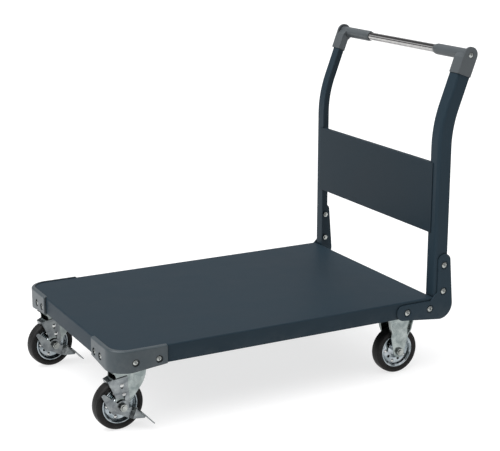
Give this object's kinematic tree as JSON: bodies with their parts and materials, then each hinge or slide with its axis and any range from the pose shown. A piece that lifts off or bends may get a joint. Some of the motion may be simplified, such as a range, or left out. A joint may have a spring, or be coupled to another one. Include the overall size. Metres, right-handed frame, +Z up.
{
  "type": "platform cart",
  "caption": "Four-wheeled platform cart: pressed steel deck, fixed leaning push handle with back panel, two braked swivel casters and two rigid casters.",
  "frame": {"origin": "on the floor under the middle of the cart's overall length and width", "axes": "+X towards the push handle, +Y to the right of a person who pushes, +Z up"},
  "size_m": [1.0405, 0.618, 0.862],
  "materials": {
    "deck_paint": "semi-gloss stoved paint",
    "frame_paint": "semi-gloss stoved paint",
    "panel_paint": "semi-gloss stoved paint",
    "bracket_paint": "semi-gloss stoved paint",
    "bumper_plastic": "fine-grained moulding",
    "joint_plastic": "fine-grained moulding",
    "plug_plastic": "moulded",
    "grip_chrome": "bright chrome plate",
    "tyre_rubber": "solid black rubber",
    "disc_zinc": "bright zinc plate",
    "hub_steel": "turned steel",
    "rivet_steel": "zinc plate",
    "caster_zinc": "zinc plate",
    "brake_zinc": "zinc plate",
    "pin_steel": "zinc plate",
    "ball_steel": "greased bearing steel",
    "fastener_zinc": "bright zinc plate"
  },
  "bodies": {
    "frame": {"back_panel": "panel_paint", "bracket_bolts": "fastener_zinc", "bracket_nuts": "fastener_zinc", "bumper_nuts": "fastener_zinc", "bumper_screws": "fastener_zinc", "centre_rib": "frame_paint", "corner_bracket_left": "bracket_paint", "corner_bracket_right": "bracket_paint", "corner_bumper_left": "bumper_plastic", "corner_bumper_right": "bumper_plastic", "cross_channels": "frame_paint", "deck_tray": "deck_paint", "grip_tube": "grip_chrome", "handle_joint_left": "joint_plastic", "handle_joint_right": "joint_plastic", "joint_screws": "fastener_zinc", "kingpin_left": "pin_steel", "kingpin_right": "pin_steel", "plate_bolts": "fastener_zinc", "plate_nuts": "fastener_zinc", "rear_axle_bolts": "fastener_zinc", "rear_axle_nuts": "fastener_zinc", "rigid_fork_left": "caster_zinc", "rigid_fork_right": "caster_zinc", "swivel_plate_left": "caster_zinc", "swivel_plate_right": "caster_zinc", "tube_plugs": "plug_plastic", "upright_left": "frame_paint", "upright_right": "frame_paint"},
    "swivel_left": {"swivel_fork_left": "caster_zinc", "race_balls_left": "ball_steel", "shoe_rivets_left": "rivet_steel", "axle_bolt_left": "fastener_zinc", "axle_nut_left": "fastener_zinc"},
    "lever_left": {"brake_lever_left": "brake_zinc"},
    "shoe_left": {"brake_shoe_left": "brake_zinc"},
    "wheel_front_left": {"tyre_front_left": "tyre_rubber", "wheel_discs_front_left": "disc_zinc", "wheel_rivets_front_left": "rivet_steel", "wheel_hub_front_left": "hub_steel"},
    "wheel_rear_left": {"tyre_rear_left": "tyre_rubber", "wheel_discs_rear_left": "disc_zinc", "wheel_rivets_rear_left": "rivet_steel", "wheel_hub_rear_left": "hub_steel"},
    "swivel_right": {"swivel_fork_right": "caster_zinc", "race_balls_right": "ball_steel", "shoe_rivets_right": "rivet_steel", "axle_bolt_right": "fastener_zinc", "axle_nut_right": "fastener_zinc"},
    "lever_right": {"brake_lever_right": "brake_zinc"},
    "shoe_right": {"brake_shoe_right": "brake_zinc"},
    "wheel_front_right": {"tyre_front_right": "tyre_rubber", "wheel_discs_front_right": "disc_zinc", "wheel_rivets_front_right": "rivet_steel", "wheel_hub_front_right": "hub_steel"},
    "wheel_rear_right": {"tyre_rear_right": "tyre_rubber", "wheel_discs_rear_right": "disc_zinc", "wheel_rivets_rear_right": "rivet_steel", "wheel_hub_rear_right": "hub_steel"}
  },
  "joints": [
    {"name": "swivel_left_turn", "type": "hinge", "parent": "frame", "child": "swivel_left", "pos_m": [-0.42485, -0.241, 0.15], "axis": [0, 0, 1], "continuous": true},
    {"name": "wheel_front_left_spin", "type": "hinge", "parent": "swivel_left", "child": "wheel_front_left", "pos_m": [-0.45779, -0.24302, 0.0625], "axis": [-0.061, 0.9981, 0], "continuous": true},
    {"name": "lever_left_tilt", "type": "hinge", "parent": "swivel_left", "child": "lever_left", "pos_m": [-0.45779, -0.24302, 0.0625], "axis": [0.061, -0.9981, 0], "range_deg": [0, 25]},
    {"name": "shoe_left_lift", "type": "slide", "parent": "swivel_left", "child": "shoe_left", "axis": [0, 0, 1], "range_m": [0, 0.0053]},
    {"name": "wheel_rear_left_spin", "type": "hinge", "parent": "frame", "child": "wheel_rear_left", "pos_m": [0.33515, -0.241, 0.0625], "axis": [0, 1, 0], "continuous": true},
    {"name": "swivel_right_turn", "type": "hinge", "parent": "frame", "child": "swivel_right", "pos_m": [-0.42485, 0.241, 0.15], "axis": [0, 0, 1], "continuous": true},
    {"name": "wheel_front_right_spin", "type": "hinge", "parent": "swivel_right", "child": "wheel_front_right", "pos_m": [-0.45752, 0.23629, 0.0625], "axis": [-0.1426, 0.9898, 0], "continuous": true},
    {"name": "lever_right_tilt", "type": "hinge", "parent": "swivel_right", "child": "lever_right", "pos_m": [-0.45752, 0.23629, 0.0625], "axis": [0.1426, -0.9898, 0], "range_deg": [0, 25]},
    {"name": "shoe_right_lift", "type": "slide", "parent": "swivel_right", "child": "shoe_right", "axis": [0, 0, 1], "range_m": [0, 0.0053]},
    {"name": "wheel_rear_right_spin", "type": "hinge", "parent": "frame", "child": "wheel_rear_right", "pos_m": [0.33515, 0.241, 0.0625], "axis": [0, 1, 0], "continuous": true}
  ],
  "couplings": [
    {"joint": "shoe_left_lift", "follows": "lever_left_tilt", "m_per_rad": 0.011915},
    {"joint": "shoe_right_lift", "follows": "lever_right_tilt", "m_per_rad": 0.011915}
  ]
}
